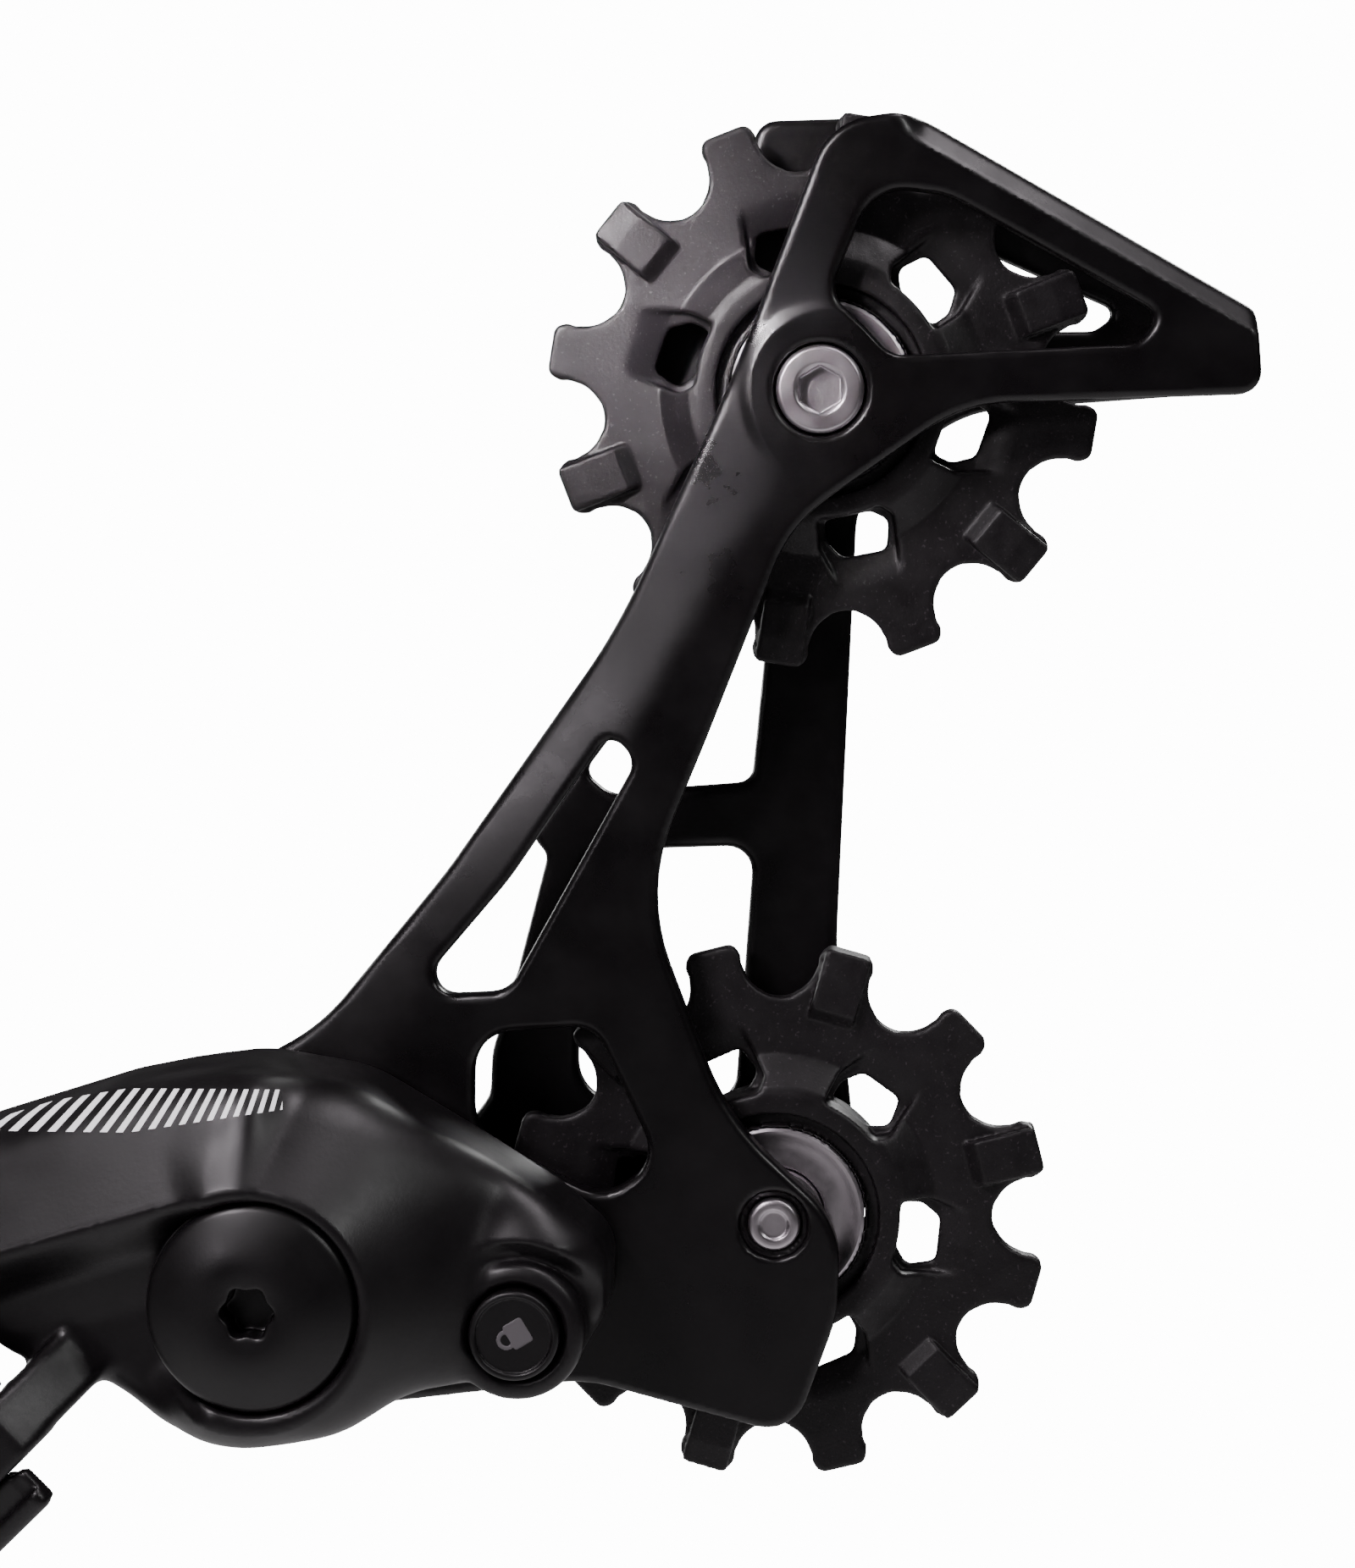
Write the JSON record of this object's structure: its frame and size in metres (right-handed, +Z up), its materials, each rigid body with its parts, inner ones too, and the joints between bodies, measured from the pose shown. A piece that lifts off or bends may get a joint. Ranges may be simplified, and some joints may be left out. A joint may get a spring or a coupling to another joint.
{
  "type": "rear bicycle derailleur",
  "caption": "Rear derailleur: hinged knuckles joined by a parallelogram, sprung cage with two narrow-wide pulleys, and a cage lock button.",
  "frame": {"origin": "hanger bolt axis at the hanger's outboard face", "axes": "+X towards the pulleys with the cage locked forward, +Y inboard along the hanger bolt, +Z up"},
  "size_m": [0.1825, 0.0436, 0.1592],
  "materials": {
    "cast_black": "satin black cast alloy",
    "forged_black": "satin black forged alloy",
    "cage_black": "smooth satin black",
    "pulley_nylon": "moulded glass-filled nylon",
    "steel_silver": "plated steel",
    "black_plastic": "matte black plastic",
    "seal_rubber": "matte",
    "black_steel": "black oxide"
  },
  "bodies": {
    "hanger_mount": {"hanger_bolt": "black_steel", "hanger_washer": "steel_silver"},
    "b_knuckle": {"b_knuckle": "cast_black", "hanger_bushings": "black_plastic", "b_tension_screw": "black_steel", "limit_screw_high": "black_steel", "limit_screw_low": "black_steel", "cable_stop": "black_steel", "hinge_pin_outer": "steel_silver", "hinge_pin_inner": "steel_silver"},
    "outer_link": {"outer_link": "forged_black", "outer_link_bushings": "black_plastic"},
    "inner_link": {"inner_link": "forged_black", "inner_link_bushings": "black_plastic", "cable_fin": "forged_black", "cable_anchor_bolt": "black_steel", "cable_anchor_washer": "black_steel"},
    "p_knuckle": {"p_knuckle": "cast_black", "knuckle_pin_outer": "steel_silver", "knuckle_pin_inner": "steel_silver", "clutch_cap": "black_plastic", "cap_seal": "seal_rubber", "clutch_race": "steel_silver", "clutch_rollers": "steel_silver", "cage_spring": "steel_silver", "axle_bushing": "black_plastic", "lock_spring": "steel_silver"},
    "lock_button": {"lock_button": "black_plastic", "lock_pin": "black_steel"},
    "cage": {"outer_cage_plate": "cage_black", "inner_cage_plate": "cage_black", "tail_bridge": "cage_black", "cage_spacers": "steel_silver", "cage_axle": "steel_silver", "guide_bolt": "steel_silver", "tension_bolt": "steel_silver", "guide_inner_ring": "steel_silver", "tension_inner_ring": "steel_silver"},
    "guide_pulley": {"guide_pulley": "pulley_nylon", "guide_outer_ring": "steel_silver", "guide_balls": "steel_silver", "guide_shields": "steel_silver"},
    "tension_pulley": {"tension_pulley": "pulley_nylon", "tension_outer_ring": "steel_silver", "tension_balls": "steel_silver", "tension_shields": "steel_silver"}
  },
  "joints": [
    {"name": "hanger_pivot", "type": "hinge", "parent": "hanger_mount", "child": "b_knuckle", "pos_m": [0, 0, 0], "axis": [0, 1, 0], "range_deg": [0, 30]},
    {"name": "parallelogram", "type": "hinge", "parent": "b_knuckle", "child": "outer_link", "pos_m": [0.03128, -0.00712, -0.05782], "axis": [-0.7071, 0, 0.7071], "range_deg": [0, 60], "stiffness_Nm_per_rad": 0.25, "springref_deg": -34.38},
    {"name": "inner_link_pivot", "type": "hinge", "parent": "b_knuckle", "child": "inner_link", "pos_m": [0.02951, 0.00148, -0.05959], "axis": [-0.7071, 0, 0.7071], "range_deg": [0, 60]},
    {"name": "knuckle_pivot", "type": "hinge", "parent": "outer_link", "child": "p_knuckle", "pos_m": [0.05872, -0.0168, -0.03038], "axis": [-0.7071, 0, 0.7071], "range_deg": [-60, 0]},
    {"name": "cage_pivot", "type": "hinge", "parent": "p_knuckle", "child": "cage", "pos_m": [0.0764, 0, -0.0127], "axis": [0, 1, 0], "range_deg": [0, 150]},
    {"name": "lock_slide", "type": "slide", "parent": "p_knuckle", "child": "lock_button", "axis": [0, 1, 0], "range_m": [0, 0.003], "stiffness_N_per_m": 400, "springref_m": -0.001},
    {"name": "guide_spin", "type": "hinge", "parent": "cage", "child": "guide_pulley", "pos_m": [0.1217, 0.014, -0.0097], "axis": [0, 1, 0], "continuous": true},
    {"name": "tension_spin", "type": "hinge", "parent": "cage", "child": "tension_pulley", "pos_m": [0.126, 0.014, 0.0687], "axis": [0, 1, 0], "continuous": true}
  ],
  "couplings": [
    {"joint": "inner_link_pivot", "follows": "parallelogram", "ratio": 1},
    {"joint": "knuckle_pivot", "follows": "parallelogram", "ratio": -1}
  ]
}
